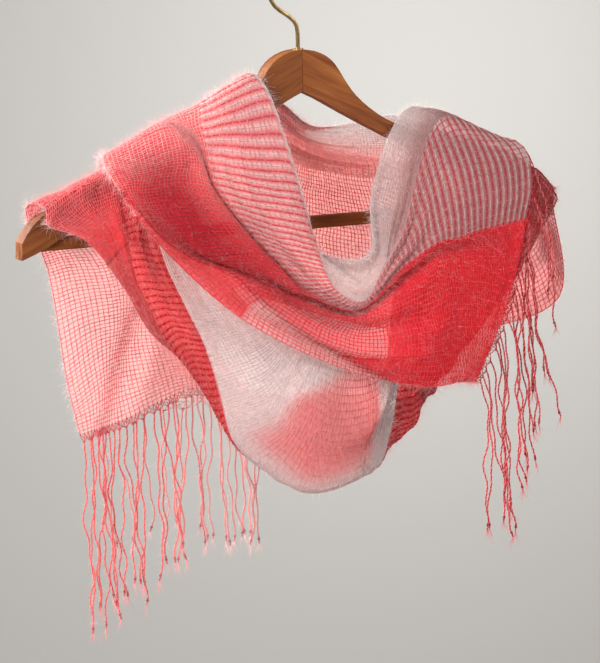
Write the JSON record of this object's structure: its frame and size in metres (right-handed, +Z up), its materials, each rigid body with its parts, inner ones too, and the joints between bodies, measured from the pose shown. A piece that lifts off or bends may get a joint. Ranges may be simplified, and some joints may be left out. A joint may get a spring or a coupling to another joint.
{
  "type": "scarf on a clothes hanger",
  "caption": "Open-weave mohair scarf with twisted fringes, draped over a contoured wooden hanger with a trouser bar and a brass swivel hook.",
  "frame": {"origin": "highest point inside the hook, where it sits on a rail", "axes": "+X along the hanger to the end with the crosswise fringe, -Y the front, +Z up"},
  "size_m": [0.4574, 0.1179, 0.4927],
  "materials": {
    "arm_wood": "satin varnish",
    "bar_wood": "satin varnish",
    "nail_steel": "plain",
    "hook_brass": "aged satin",
    "scarf_cloth": "open plain weave of brushed mohair",
    "fringe_pale": "twisted two-ply yarn",
    "fringe_red": "twisted two-ply yarn"
  },
  "bodies": {
    "hook": {"hook": "hook_brass", "hook_retainer": "nail_steel"},
    "hanger": {"hanger_arm_left": "arm_wood", "hanger_arm_right": "arm_wood", "trouser_bar": "bar_wood", "bar_nail_left": "nail_steel", "bar_nail_right": "nail_steel", "hook_bushing": "hook_brass"},
    "scarf": {"scarf_tail_back_left": "scarf_cloth", "scarf_over_left_arm": "scarf_cloth", "scarf_cowl_left": "scarf_cloth", "scarf_cowl_bottom": "scarf_cloth", "scarf_cowl_right": "scarf_cloth", "scarf_over_right_arm": "scarf_cloth", "scarf_neck_back": "scarf_cloth", "scarf_over_left_shoulder": "scarf_cloth", "scarf_front_left": "scarf_cloth", "scarf_front_cross": "scarf_cloth", "scarf_end_right": "scarf_cloth"},
    "fringe_left": {"fringe_left_01": "fringe_pale", "fringe_left_02": "fringe_pale", "fringe_left_03": "fringe_pale", "fringe_left_04": "fringe_pale", "fringe_left_05": "fringe_pale", "fringe_left_06": "fringe_pale", "fringe_left_07": "fringe_pale", "fringe_left_08": "fringe_pale", "fringe_left_09": "fringe_pale", "fringe_left_10": "fringe_pale", "fringe_left_11": "fringe_pale", "fringe_left_12": "fringe_pale", "fringe_left_13": "fringe_pale", "fringe_left_14": "fringe_pale", "fringe_left_15": "fringe_pale", "fringe_left_16": "fringe_pale", "fringe_left_17": "fringe_pale", "fringe_left_18": "fringe_pale"},
    "fringe_right": {"fringe_right_01": "fringe_red", "fringe_right_02": "fringe_red", "fringe_right_03": "fringe_red", "fringe_right_04": "fringe_red", "fringe_right_05": "fringe_red", "fringe_right_06": "fringe_red", "fringe_right_07": "fringe_red", "fringe_right_08": "fringe_red", "fringe_right_09": "fringe_red", "fringe_right_10": "fringe_red", "fringe_right_11": "fringe_red", "fringe_right_12": "fringe_red", "fringe_right_13": "fringe_red", "fringe_right_14": "fringe_red", "fringe_right_15": "fringe_red", "fringe_right_16": "fringe_red"}
  },
  "joints": [
    {"name": "hook_swivel", "type": "hinge", "parent": "hook", "child": "hanger", "pos_m": [0, 0, -0.0696], "axis": [0, 0, 1], "continuous": true},
    {"name": "scarf_lift", "type": "slide", "parent": "hanger", "child": "scarf", "axis": [0, 0, 1], "range_m": [0, 0.5]},
    {"name": "fringe_left_swing", "type": "hinge", "parent": "scarf", "child": "fringe_left", "pos_m": [-0.1, 0.036, -0.332], "axis": [0.9975, 0, 0.0702], "range_deg": [-10, 10]},
    {"name": "fringe_right_swing", "type": "hinge", "parent": "scarf", "child": "fringe_right", "pos_m": [0.157, -0.022, -0.256], "axis": [0.365, 0.085, 0.9271], "range_deg": [-12, 12]}
  ]
}
